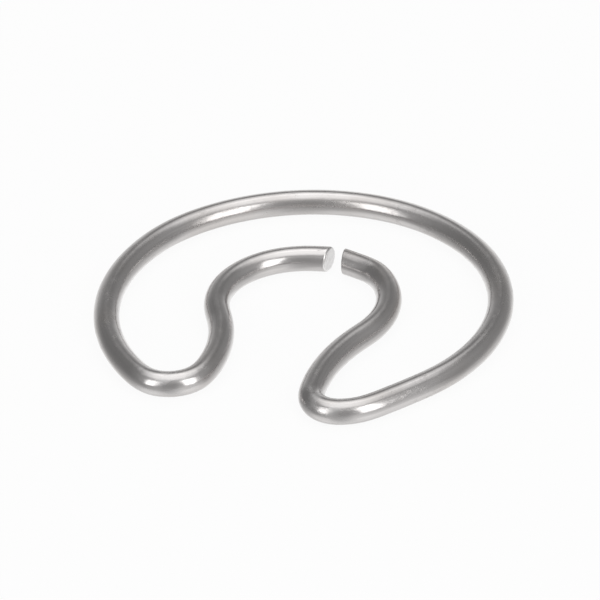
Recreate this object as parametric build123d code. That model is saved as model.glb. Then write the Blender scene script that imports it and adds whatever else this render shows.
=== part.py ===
from build123d import *
from math import acos, atan2, cos, degrees, hypot, radians, sin, sqrt
import os

# Retaining clip: one length of round spring wire, bent flat and left open.
# The outer ring runs most of the way round, turns back on itself at two hairpins beside the mouth,
# and comes in as two fingers that close round a smaller seat for a grooved shaft.
# Millimetres, +Z up. The origin is the seat's centre in the wire's middle plane, and the mouth faces -Y.
# Radii without "inside" in their names are to the middle of the wire.

# Wire
wire_dia = 1.6
end_chamfer = 0.1

# Outer ring, with its centre a little in front of the seat's
ring_outside_dia = 26.0
ring_offset = 0.2

# Hairpins, each joined to the ring by a straight shank
hairpin_pitch = 11.3
hairpin_inside_radius = 1.4
shank_length = 3.1

# Fingers, seat and tips: the tips tuck in a little from the seat's circle
finger_radius = 12.0
seat_inside_dia = 9.15
tip_radius = 3.6
tip_sweep_deg = 36.0

# Gap between the two cropped ends, off the middle towards +X
end_gap = 0.95
end_gap_offset = 0.45

# Sizes that follow
wire_radius = wire_dia / 2
ring_radius = ring_outside_dia / 2 - wire_radius
hairpin_radius = hairpin_inside_radius + wire_radius
seat_radius = seat_inside_dia / 2 + wire_radius


def polar(centre, radius, angle):
    """The point on a circle at an angle in degrees from +X."""
    return centre + Vector(radius * cos(radians(angle)), radius * sin(radians(angle)))


def bearing(start, finish):
    """The angle in degrees of the line from one point to another."""
    return degrees(atan2(finish.Y - start.Y, finish.X - start.X))


def bend(centre, radius, start_angle, end_angle, clockwise):
    """A bend of the wire about a centre, from one angle round to another."""
    sweep_angle = (end_angle - start_angle) % 360
    if clockwise:
        sweep_angle -= 360
    return CenterArc(centre, radius, start_angle, sweep_angle)


# Ring and hairpin: the shank is tangent to both, so its length and their radii give the distance between centres
seat_centre = Vector(0, 0)
ring_centre = seat_centre - Vector(0, ring_offset)
hairpin_x = hairpin_pitch / 2
hairpin_reach = hypot(ring_radius - hairpin_radius, shank_length)
hairpin_centre = ring_centre + Vector(hairpin_x, -sqrt(hairpin_reach**2 - hairpin_x**2))
shank_turn = degrees(acos((ring_radius - hairpin_radius) / hairpin_reach))
shank_angle = bearing(ring_centre, hairpin_centre) + shank_turn

# Finger: one arc that leaves the hairpin and runs into the seat the other way round, tangent to both
finger_to_hairpin = finger_radius - hairpin_radius
finger_to_seat = finger_radius + seat_radius
hairpin_to_seat = (seat_centre - hairpin_centre).length
finger_turn = degrees(acos(
    (finger_to_hairpin**2 + hairpin_to_seat**2 - finger_to_seat**2) / (2 * finger_to_hairpin * hairpin_to_seat)
))
finger_centre = polar(hairpin_centre, finger_to_hairpin, bearing(hairpin_centre, seat_centre) - finger_turn)

# Tip: tangent to the seat's circle where the tuck starts
tip_angle = 90 - tip_sweep_deg
tip_centre = polar(seat_centre, seat_radius - tip_radius, tip_angle)


def half_wire(end_x):
    """The wire on the +X side, from the end of the ring to the cropped end at end_x."""
    end_angle = degrees(acos((end_x - tip_centre.X) / tip_radius))
    shank = Line(
        polar(ring_centre, ring_radius, shank_angle),
        polar(hairpin_centre, hairpin_radius, shank_angle),
    )
    hairpin = bend(hairpin_centre, hairpin_radius, shank_angle, bearing(finger_centre, hairpin_centre), True)
    finger = bend(
        finger_centre,
        finger_radius,
        bearing(finger_centre, hairpin_centre),
        bearing(finger_centre, seat_centre),
        True,
    )
    seat = bend(seat_centre, seat_radius, bearing(seat_centre, finger_centre), tip_angle, False)
    tip = bend(tip_centre, tip_radius, tip_angle, end_angle, False)
    return [shank, hairpin, finger, seat, tip]


# The two sides differ only in where their ends are cropped
right_half = half_wire(end_gap_offset + end_gap / 2)
left_half = [edge.mirror(Plane.YZ) for edge in half_wire(end_gap / 2 - end_gap_offset)]
ring = bend(ring_centre, ring_radius, 180 - shank_angle, shank_angle, True)
path = Wire(left_half[::-1] + [ring] + right_half)

# Sweep the round wire along its path, then break the edges of the cropped ends
section = Plane(path @ 0, z_dir=path % 0) * Circle(wire_radius)
clip_wire = sweep(section, path)
end_faces = clip_wire.faces().filter_by(GeomType.PLANE)
clip_wire = chamfer(end_faces.edges(), end_chamfer)

os.makedirs("parts", exist_ok=True)
export_step(clip_wire, "parts/clip_wire.step")
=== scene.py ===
import bisect
import math
from dataclasses import dataclass
from typing import NamedTuple

import bmesh
import bpy
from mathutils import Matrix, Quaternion, Vector


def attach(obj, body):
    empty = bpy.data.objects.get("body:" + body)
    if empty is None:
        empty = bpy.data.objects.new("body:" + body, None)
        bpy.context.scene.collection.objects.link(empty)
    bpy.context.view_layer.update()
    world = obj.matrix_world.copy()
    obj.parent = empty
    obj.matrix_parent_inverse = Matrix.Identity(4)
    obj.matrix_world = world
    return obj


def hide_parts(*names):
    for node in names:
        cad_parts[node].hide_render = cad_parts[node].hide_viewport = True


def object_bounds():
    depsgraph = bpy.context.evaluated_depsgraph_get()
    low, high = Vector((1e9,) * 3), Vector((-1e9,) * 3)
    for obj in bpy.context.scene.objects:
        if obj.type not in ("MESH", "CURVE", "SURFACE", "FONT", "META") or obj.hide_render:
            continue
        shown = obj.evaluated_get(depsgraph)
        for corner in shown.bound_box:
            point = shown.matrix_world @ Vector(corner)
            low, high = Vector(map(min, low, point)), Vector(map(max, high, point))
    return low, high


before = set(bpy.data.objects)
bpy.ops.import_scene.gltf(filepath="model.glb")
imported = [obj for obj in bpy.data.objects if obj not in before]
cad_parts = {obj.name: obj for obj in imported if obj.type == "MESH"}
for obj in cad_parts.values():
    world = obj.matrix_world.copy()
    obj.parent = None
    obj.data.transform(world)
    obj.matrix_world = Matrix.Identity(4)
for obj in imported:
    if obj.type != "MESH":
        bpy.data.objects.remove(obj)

# Retaining clip: one length of bright drawn spring wire, bent flat. A wide ring runs round to two
# hairpins at the front, and from each hairpin a finger curves in to one side of a round seat, where
# the two cut ends nearly meet at the back. Lengths are in metres; the seat's centre is the origin,
# and a radius is to the middle of the wire.

cad_low, cad_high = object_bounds()

MM = 0.001
origin = Vector((0, 0))

# Wire: its size comes from the solid, and bends ease into each other over the easing length
wire_radius = (cad_high.z - cad_low.z) / 2
ring_back = cad_high.y - wire_radius
sides_round_wire = 48
step_along_wire = 0.12 * MM
easing_length = 1.5 * MM
easing_steps = 14
tightest_bend = 2.0 * MM

# Cut ends: the wire's rings lean into the plane of the cut over the lean length, go over a rounded edge
# and close across the face
lean_length = 2 * wire_radius
corner_steps = 5
face_shares = (0.35, 0.7, 0.93, 1.0)

# Bearing, in radians from +X, at which the back arc of the ring meets its front arc
ring_change_bearing = 0.6


@dataclass
class Side:
    """The bends on one side of the clip, as if it were the right-hand one, from the ring to the cut end.
    The hairpin and the seat are placed by their centres, the hairpin_change and tip bearings say where the
    next arc starts, crop_turn is the angle of the cut to the clip's middle plane, and end_rounding rounds
    the cut's edge."""

    ring_back_radius: float
    ring_front_radius: float
    shank_radius: float
    hairpin_x: float
    hairpin_y: float
    hairpin_radius: float
    hairpin_front_radius: float
    hairpin_change_bearing: float
    finger_radius: float
    seat_x: float
    seat_y: float
    seat_radius: float
    tip_bearing: float
    tip_radius: float
    tip_sweep: float
    tip_straight: float
    crop_turn: float
    end_rounding: float


# The bends of a spring-wire clip come out a little different on its two sides. Here the left of the ring is
# flatter towards the front, the right hairpin stands further forward and is flatter along its front, and the
# right tip is bent in more sharply.
left_side = Side(
    ring_back_radius=12.358 * MM,
    ring_front_radius=9.838 * MM,
    shank_radius=13.29 * MM,
    hairpin_x=5.661 * MM,
    hairpin_y=-8.785 * MM,
    hairpin_radius=2.242 * MM,
    hairpin_front_radius=2.242 * MM,
    hairpin_change_bearing=math.radians(-90),
    finger_radius=10.237 * MM,
    seat_x=0.31 * MM,
    seat_y=-0.004 * MM,
    seat_radius=5.118 * MM,
    tip_bearing=math.radians(58.98),
    tip_radius=5.853 * MM,
    tip_sweep=math.radians(23.02),
    tip_straight=0.728 * MM,
    crop_turn=math.radians(8.7),
    end_rounding=0.13 * MM,
)
right_side = Side(
    ring_back_radius=12.224 * MM,
    ring_front_radius=12.01 * MM,
    shank_radius=63.35 * MM,
    hairpin_x=5.37 * MM,
    hairpin_y=-9.597 * MM,
    hairpin_radius=1.748 * MM,
    hairpin_front_radius=3.633 * MM,
    hairpin_change_bearing=math.radians(-73.6),
    finger_radius=12.383 * MM,
    seat_x=-0.82 * MM,
    seat_y=-0.083 * MM,
    seat_radius=6.063 * MM,
    tip_bearing=math.radians(43.58),
    tip_radius=2.385 * MM,
    tip_sweep=math.radians(28.34),
    tip_straight=1.783 * MM,
    crop_turn=math.radians(5.6),
    end_rounding=0.1 * MM,
)


def polar(centre, radius, angle):
    """The point on a circle at an angle in radians from +X."""
    return centre + radius * Vector((math.cos(angle), math.sin(angle)))


def bearing(start, finish):
    """The angle in radians of the line from one point to another."""
    step = finish - start
    return math.atan2(step.y, step.x)


def centre_between(first, to_first, second, to_second):
    """The point at given distances from two others, to the right of the way from the first to the second."""
    apart = (second - first).length
    turn = math.acos((to_first**2 + apart**2 - to_second**2) / (2 * to_first * apart))
    return polar(first, to_first, bearing(first, second) - turn)


class Bend:
    """An arc of the wire's centreline, from one bearing about its centre to another."""

    def __init__(self, centre, radius, start, end, clockwise):
        self.centre = centre
        self.radius = radius
        self.start = start
        self.sweep = (end - start) % math.tau
        if clockwise:
            self.sweep -= math.tau
        self.length = radius * abs(self.sweep)
        self.tightness = min(1, tightest_bend / radius)

    def at(self, share):
        angle = self.start + share * self.sweep
        turn = math.copysign(math.pi / 2, self.sweep)
        return polar(self.centre, self.radius, angle), polar(origin, 1, angle + turn)


class Run:
    """The straight end of a tip."""

    tightness = 0

    def __init__(self, start, finish):
        self.start = start
        self.finish = finish
        self.length = (finish - start).length

    def at(self, share):
        return self.start.lerp(self.finish, share), (self.finish - self.start).normalized()


class Mirrored:
    """A stretch on the other side of the clip, walked the other way."""

    def __init__(self, stretch):
        self.stretch = stretch
        self.length = stretch.length
        self.tightness = stretch.tightness

    def at(self, share):
        place, heading = self.stretch.at(1 - share)
        return Vector((-place.x, place.y)), Vector((heading.x, -heading.y))


def half_wire(side):
    """One side of the clip, from the back of the ring to the cut end, each stretch tangent to the next."""
    back_centre = Vector((0, ring_back - side.ring_back_radius))
    to_front = side.ring_back_radius - side.ring_front_radius
    front_centre = polar(back_centre, to_front, ring_change_bearing)
    hairpin = Vector((side.hairpin_x, side.hairpin_y))
    seat = Vector((side.seat_x, side.seat_y))

    change = side.hairpin_change_bearing
    hairpin_front = polar(hairpin, side.hairpin_radius - side.hairpin_front_radius, change)
    to_ring = side.shank_radius - side.ring_front_radius
    to_hairpin_front = side.shank_radius - side.hairpin_front_radius
    shank = centre_between(front_centre, to_ring, hairpin_front, to_hairpin_front)
    shank_start = bearing(shank, front_centre)
    shank_end = bearing(shank, hairpin_front)

    to_hairpin = side.finger_radius - side.hairpin_radius
    to_seat = side.finger_radius + side.seat_radius
    finger = centre_between(hairpin, to_hairpin, seat, to_seat)
    finger_start = bearing(finger, hairpin)
    finger_end = bearing(finger, seat)

    tip = polar(seat, side.seat_radius - side.tip_radius, side.tip_bearing)
    tip_bend = Bend(tip, side.tip_radius, side.tip_bearing, side.tip_bearing + side.tip_sweep, False)
    tip_place, tip_heading = tip_bend.at(1)
    return [
        Bend(back_centre, side.ring_back_radius, math.pi / 2, ring_change_bearing, True),
        Bend(front_centre, side.ring_front_radius, ring_change_bearing, shank_start, True),
        Bend(shank, side.shank_radius, shank_start, shank_end, True),
        Bend(hairpin_front, side.hairpin_front_radius, shank_end, change, True),
        Bend(hairpin, side.hairpin_radius, change, finger_start, True),
        Bend(finger, side.finger_radius, finger_start, finger_end, True),
        Bend(seat, side.seat_radius, bearing(seat, finger), side.tip_bearing, False),
        tip_bend,
        Run(tip_place, tip_place + tip_heading * side.tip_straight),
    ]


class Station(NamedTuple):
    """One place along the wire, with its distance from the left end and the tightness of the bend there."""

    place: Vector
    heading: Vector
    along: float
    tightness: float


def centreline():
    """Stations along the wire. Each place is the middle of a short stretch of the route, so that one bend
    eases into the next."""
    route = [Mirrored(stretch) for stretch in reversed(half_wire(left_side))] + half_wire(right_side)
    total = sum(stretch.length for stretch in route)
    starts = []
    walked = 0
    for stretch in route:
        starts.append(walked)
        walked += stretch.length

    def sharp(along):
        """The route before easing; past its ends it runs straight on."""
        inside = min(max(along, 0), total)
        number = bisect.bisect_right(starts, inside) - 1
        place, heading = route[number].at((inside - starts[number]) / route[number].length)
        return Station(place + heading * (along - inside), heading, along, route[number].tightness)

    offsets = [easing_length * (k / easing_steps - 0.5) for k in range(easing_steps + 1)]
    count = round(total / step_along_wire)
    stations = []
    for k in range(count + 1):
        along = total * k / count
        near = [sharp(along + offset) for offset in offsets]
        place = sum((part.place for part in near), origin) / len(near)
        heading = sum((part.heading for part in near), origin).normalized()
        tightness = sum(part.tightness for part in near) / len(near)
        stations.append(Station(place, heading, along, tightness))
    return stations


def put_in_scene(name, data):
    made = bpy.data.objects.new(name, data)
    bpy.context.scene.collection.objects.link(made)
    return made


def make_wire():
    """The swept wire with its two cut ends. Attributes on its points: straight is the place on the wire
    before it was bent (across, up, and along its length), bent how tightly it is bent there, and cut is
    1 on the end faces."""
    mesh = bmesh.new()
    straight = mesh.verts.layers.float_vector.new("straight")
    bent = mesh.verts.layers.float.new("bent")
    cut = mesh.verts.layers.float.new("cut")

    stations = centreline()
    first, last = stations[0], stations[-1]
    first_lean = -math.tan(bearing(origin, first.heading) + left_side.crop_turn)
    last_lean = -math.tan(bearing(origin, last.heading) - right_side.crop_turn)

    def lean(along):
        """The slope of a ring against square to the wire: at the ends it lies in the plane of the crop."""
        from_first = max(0, 1 - along / lean_length)
        from_last = max(0, 1 - (last.along - along) / lean_length)
        return first_lean * from_first + last_lean * from_last

    def add_ring(place, heading, along, tightness, radius=wire_radius, cut_share=0.0):
        slope = lean(along)
        side = Vector((heading.y, -heading.x, 0)) + slope * Vector((heading.x, heading.y, 0))
        loop = []
        for k in range(sides_round_wire):
            angle = math.tau * k / sides_round_wire
            across, up = radius * math.cos(angle), radius * math.sin(angle)
            vert = mesh.verts.new(Vector((place.x, place.y, 0)) + side * across + Vector((0, 0, up)))
            vert[straight] = Vector((across, up, along + slope * across))
            vert[bent] = tightness
            vert[cut] = cut_share
            loop.append(vert)
        return loop

    def end_rings(station, outward, rounding):
        """Rings from the middle of the cut face to its rim and over the rounded edge to the full wire."""
        place, heading, along, tightness = station
        for share in face_shares:
            yield place, heading, along, tightness, share * (wire_radius - rounding), 1.0
        for step in range(1, corner_steps + 1):
            turn = math.pi / 2 * step / corner_steps
            radius = wire_radius - rounding * (1 - math.sin(turn))
            back = outward * rounding * (1 - math.cos(turn))
            yield place - heading * back, heading, along - back, tightness, radius, 1 - step / corner_steps

    full_from = first.along + left_side.end_rounding
    full_to = last.along - right_side.end_rounding
    loops = [add_ring(*ring) for ring in end_rings(first, -1, left_side.end_rounding)]
    loops += [add_ring(*station) for station in stations if full_from < station.along < full_to]
    loops += [add_ring(*ring) for ring in reversed(list(end_rings(last, 1, right_side.end_rounding)))]

    for lower, upper in zip(loops, loops[1:]):
        for k in range(sides_round_wire):
            after = (k + 1) % sides_round_wire
            mesh.faces.new((lower[k], lower[after], upper[after], upper[k]))
    for loop in (loops[0], loops[-1]):
        middle = mesh.verts.new(sum((vert.co for vert in loop), Vector()) / sides_round_wire)
        middle[straight] = Vector((0, 0, loop[0][straight].z))
        middle[bent] = loop[0][bent]
        middle[cut] = 1.0
        for k in range(sides_round_wire):
            mesh.faces.new((loop[k], loop[(k + 1) % sides_round_wire], middle))
    bmesh.ops.recalc_face_normals(mesh, faces=mesh.faces)

    data = bpy.data.meshes.new("clip_wire_bright")
    mesh.to_mesh(data)
    mesh.free()
    data.shade_smooth()
    return put_in_scene("clip_wire_bright", data)


class Wired:
    """A shader socket that takes Python's operators: an expression on values adds its Math nodes."""

    def __init__(self, tree, socket=None):
        self.tree = tree
        self.socket = socket

    def node(self, kind, settings=None, sockets=None, out=0):
        """One output of a new node, whose settings come before the values or links of its sockets."""
        made = self.tree.nodes.new(kind)
        for name, value in (settings or {}).items():
            setattr(made, name, value)
        for name, value in (sockets or {}).items():
            if isinstance(value, Wired):
                self.tree.links.new(value.socket, made.inputs[name])
            else:
                made.inputs[name].default_value = value
        return Wired(self.tree, made.outputs[out] if made.outputs else None)

    def maths(self, operation, *values):
        return self.node("ShaderNodeMath", {"operation": operation}, dict(enumerate(values)))

    def __add__(self, other):
        return self.maths("ADD", self, other)

    def __sub__(self, other):
        return self.maths("SUBTRACT", self, other)

    def __rsub__(self, other):
        return self.maths("SUBTRACT", other, self)

    def __mul__(self, other):
        return self.maths("MULTIPLY", self, other)

    __radd__ = __add__
    __rmul__ = __mul__

    def __abs__(self):
        return self.maths("ABSOLUTE", self)

    def smooth(self, start, finish):
        """0 at start, 1 at finish, eased between them."""
        return self.node(
            "ShaderNodeMapRange",
            {"interpolation_type": "SMOOTHERSTEP"},
            {"Value": self, "From Min": start, "From Max": finish},
        )


def new_material(name):
    material = bpy.data.materials.new(name)
    material.use_nodes = True
    material.node_tree.nodes.clear()
    return material, Wired(material.node_tree)


# Steel of the wire: its colours, the roughness of its smoothest places, and the depths of its marks
bright_steel = (0.625, 0.606, 0.6, 1)
stained_steel = (0.55, 0.522, 0.505, 1)
drawn_steel = (0.5, 0.483, 0.478, 1)
flecked_steel = (0.46, 0.44, 0.43, 1)
rubbed_steel = (0.68, 0.668, 0.663, 1)
# Sheared end faces: paler than steel can be, partly the fresh cut's own brightness and partly a painted
# highlight
sheared_steel_with_painted_highlight = (0.9, 0.89, 0.885, 1)
smoothest = 0.13
die_line_depth = 0.0028 * MM
draw_mark_depth = 0.006 * MM
mottle_depth = 0.012 * MM
peel_depth = 0.006 * MM
fleck_depth = 0.002 * MM
shear_line_depth = 0.05 * MM


def bright_wire_finish():
    """Bright drawn spring wire: die lines and draw marks along it, faint stains, rubbed bends, flecks where
    the straighter stretches were gripped, and sheared end faces, which are rougher and coloured paler than
    steel: partly their own fresh cut, partly a painted highlight."""
    material, shader = new_material("bright_drawn_wire")

    def attribute(name, out):
        return shader.node("ShaderNodeAttribute", {"attribute_name": name}, out=out)

    straight = attribute("straight", "Vector")
    bent = attribute("bent", "Fac")
    cut = attribute("cut", "Fac")

    def grain(round_per_mm, along_per_mm, detail):
        """Noise on the unbent wire, by its features per millimetre round the wire and along it."""
        scale = (round_per_mm / MM, round_per_mm / MM, along_per_mm / MM)
        place = shader.node("ShaderNodeVectorMath", {"operation": "MULTIPLY"}, {0: straight, 1: scale})
        return shader.node("ShaderNodeTexNoise", None, {"Vector": place, "Scale": 1.0, "Detail": detail})

    def blend(share, first, second):
        return shader.node("ShaderNodeMix", {"data_type": "RGBA"}, {0: share, 6: first, 7: second}, out=2)

    die_lines = grain(round_per_mm=20, along_per_mm=0.15, detail=3.0)
    draw_marks = grain(round_per_mm=5.5, along_per_mm=0.06, detail=2.0)
    mottle = grain(round_per_mm=1.7, along_per_mm=0.9, detail=3.0)
    stain = grain(round_per_mm=0.5, along_per_mm=0.2, detail=2.0).smooth(0.42, 0.72)
    peel = grain(round_per_mm=8, along_per_mm=6, detail=2.0)
    rubbed = bent.smooth(0.3, 0.9) * mottle.smooth(0.4, 0.65)
    gripped = bent.smooth(0.3, 0.05) * mottle.smooth(0.42, 0.6)
    flecks = grain(round_per_mm=4.5, along_per_mm=3.4, detail=3.0).smooth(0.5, 0.68) * gripped
    shear_lines = grain(round_per_mm=3, along_per_mm=0.01, detail=2.0)

    steel = blend(stain * 0.7, bright_steel, stained_steel)
    steel = blend(draw_marks.smooth(0.5, 0.75) * 0.5, steel, drawn_steel)
    steel = blend(flecks * 0.55, steel, flecked_steel)
    steel = blend(rubbed * 0.5, steel, rubbed_steel)
    # The end faces take the pale sheared colour, partly a painted highlight on top of the cut's real finish
    steel = blend(cut, steel, sheared_steel_with_painted_highlight)
    roughness = smoothest + die_lines * 0.06 + mottle * 0.08 + stain * 0.04
    roughness = roughness + rubbed * 0.1 + flecks * 0.12 + cut * 0.12
    height = (
        die_lines * die_line_depth
        + draw_marks * draw_mark_depth
        + mottle * mottle_depth
        + peel * rubbed * peel_depth
        - flecks * fleck_depth
        + shear_lines * cut * shear_line_depth
    )
    normal = shader.node("ShaderNodeBump", None, {"Strength": 1.0, "Distance": 1.0, "Height": height})
    surface = shader.node("ShaderNodeBsdfPrincipled", None, {
        "Base Color": steel,
        "Metallic": 1.0,
        "Roughness": roughness,
        "Normal": normal,
    })
    shader.node("ShaderNodeOutputMaterial", None, {"Surface": surface})
    return material


clip_wire = make_wire()
clip_wire.data.materials.append(bright_wire_finish())
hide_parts("clip_wire")
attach(clip_wire, "root")

# Camera at the photograph's angle; the picture is square
camera_azimuth = math.radians(19.42)
camera_elevation = math.radians(31.96)
camera_roll = math.radians(2.61)
camera_distance = 387 * MM
camera_near = 0.01
camera_far = 10
sensor_width = 36
picture_width = 37.034 * MM
look_at = Vector((0, -0.2 * MM, 0))
look_right = -0.173 * MM
look_up = 0.281 * MM


def direction(azimuth, elevation):
    """A unit vector, from degrees. Azimuth turns from the camera's side to the picture's right."""
    turned = camera_azimuth + math.radians(azimuth)
    level = math.cos(math.radians(elevation))
    return Vector((math.sin(turned) * level, -math.cos(turned) * level, math.sin(math.radians(elevation))))


def make_camera():
    towards = direction(0, math.degrees(camera_elevation))
    level = (-towards).to_track_quat("-Z", "Y")
    target = look_at + level @ Vector((look_right, look_up, 0))
    data = bpy.data.cameras.new("camera")
    data.sensor_width = sensor_width
    data.lens = sensor_width * camera_distance / picture_width
    data.clip_start = camera_near
    data.clip_end = camera_far
    camera = put_in_scene("camera", data)
    camera.location = target + towards * camera_distance
    camera.rotation_mode = "QUATERNION"
    camera.rotation_quaternion = level @ Quaternion((0, 0, 1), -camera_roll)
    bpy.context.scene.camera = camera


# Floor: the camera sees it mostly as plain white, and the rest of it shows the clip's shadow
floor_half = 2.0
floor_gap = 0.01 * MM
floor_white_share = 0.93
paper_colour = (0.9, 0.9, 0.9, 1)


def make_floor():
    """White paper. What the wire mirrors of the ground is the tent's pale lower half, seen through the
    paper: it is white underneath and greyer towards the horizon, where plain paper would mirror as one
    hard edge."""
    data = bpy.data.meshes.new("floor")
    z = cad_low.z - floor_gap
    corners = [(floor_half * x, floor_half * y, z) for x, y in ((-1, -1), (1, -1), (1, 1), (-1, 1))]
    data.from_pydata(corners, [], [(0, 1, 2, 3)])
    material, shader = new_material("white_floor")

    def ray(kind):
        return shader.node("ShaderNodeLightPath", out=kind)

    matt = shader.node("ShaderNodeBsdfDiffuse", None, {"Color": paper_colour})
    white = shader.node("ShaderNodeEmission", None, {"Color": (1, 1, 1, 1), "Strength": 1.0})
    clear = shader.node("ShaderNodeBsdfTransparent")
    white_share = ray("Is Camera Ray") * floor_white_share
    paper = shader.node("ShaderNodeMixShader", None, {0: white_share, 1: matt, 2: white})
    seen_through = ray("Is Glossy Ray") + ray("Is Shadow Ray")
    surface = shader.node("ShaderNodeMixShader", None, {0: seen_through, 1: paper, 2: clear})
    shader.node("ShaderNodeOutputMaterial", None, {"Surface": surface})
    data.materials.append(material)
    put_in_scene("floor", data)


softbox_distance = 0.6


def make_softbox(name, azimuth, elevation, width, height, radiance):
    data = bpy.data.lights.new(name, "AREA")
    data.shape = "RECTANGLE"
    data.size = width
    data.size_y = height
    data.energy = radiance * math.pi * width * height
    lamp = put_in_scene(name, data)
    towards = direction(azimuth, elevation)
    lamp.location = towards * softbox_distance
    lamp.rotation_mode = "QUATERNION"
    lamp.rotation_quaternion = (-towards).to_track_quat("-Z", "Y")
    lamp.visible_camera = False


# Tent: the light of its grey walls
wall_light = 0.268

# Its lower half, which pales from a little above the horizon, by cosines of the angle from straight down
pale_half_start = -0.364
pale_half_full = 1.4
pale_half_light = 0.9

# The dark slit in front that the camera looks through, by sines of the angles from its middle to its sides,
# from the horizon up to its top, and forward from straight beside the clip
slit_azimuth = -5.8
slit_outside = 0.45
slit_inside = 0.2
slit_top = 0.75
slit_below_top = 0.45
slit_forward = 0.4
slit_darkness = 0.18


def make_tent():
    """The white tent round the clip: grey walls, a broad glow overhead and behind, a pale lower half with
    pools of light on the paper, and the darker slit."""
    world = bpy.data.worlds.new("studio")
    bpy.context.scene.world = world
    world.use_nodes = True
    world.node_tree.nodes.clear()
    shader = Wired(world.node_tree)
    towards = shader.node("ShaderNodeTexCoord")

    def nearness(centre):
        """The cosine of the angle to a direction."""
        return shader.node(
            "ShaderNodeVectorMath", {"operation": "DOT_PRODUCT"}, {0: towards, 1: centre}, out="Value"
        )

    def glow(azimuth, elevation, reach, strength, full=0):
        """Light that is even within the angle full of a direction and eases to none at the angle reach."""
        edge, core = math.cos(math.radians(reach)), math.cos(math.radians(full))
        return nearness(direction(azimuth, elevation)).smooth(edge, core) * strength

    def slit():
        """1 in the slit, easing to 0 beside it and above it."""
        beside = abs(nearness(direction(slit_azimuth + 90, 0))).smooth(slit_outside, slit_inside)
        facing = nearness(direction(slit_azimuth, 0)).smooth(0, slit_forward)
        under_top = nearness(Vector((0, 0, 1))).smooth(slit_top, slit_below_top)
        return beside * facing * under_top

    overhead = glow(azimuth=174, elevation=85, reach=41.4, strength=1.2)
    high_behind = glow(azimuth=177, elevation=57, reach=24.8, strength=0.76)
    horizon_behind = glow(azimuth=172, elevation=-1, reach=22, strength=0.3)
    low_behind = glow(azimuth=181, elevation=-18.9, reach=53.8, strength=0.61, full=8.3)
    front = glow(azimuth=4, elevation=39, reach=101, strength=0.363)
    right_wall = glow(azimuth=115, elevation=10, reach=50, strength=0.11)
    right_pool = glow(azimuth=45, elevation=-25, reach=45, strength=0.28)
    left_paper = glow(azimuth=-62, elevation=-52, reach=34, strength=0.3)
    right_paper = glow(azimuth=55, elevation=-55, reach=34, strength=0.26)
    far_paper = glow(azimuth=121, elevation=-35, reach=38, strength=0.24)
    pale_half = nearness(Vector((0, 0, -1))).smooth(pale_half_start, pale_half_full) * pale_half_light

    light = wall_light + overhead + high_behind + horizon_behind + low_behind + front + pale_half
    light = light + right_wall + right_pool + left_paper + right_paper + far_paper - slit() * slit_darkness
    backdrop = shader.node("ShaderNodeBackground", None, {"Strength": light})
    shader.node("ShaderNodeOutputWorld", None, {"Surface": backdrop})


def make_studio():
    bpy.context.scene.view_settings.view_transform = "Standard"
    make_tent()
    make_softbox("left_softbox", azimuth=-49, elevation=25.2, width=0.264, height=0.47, radiance=1.75)
    make_softbox("right_softbox", azimuth=42.2, elevation=27.2, width=0.294, height=0.522, radiance=1.95)


make_camera()
make_floor()
make_studio()
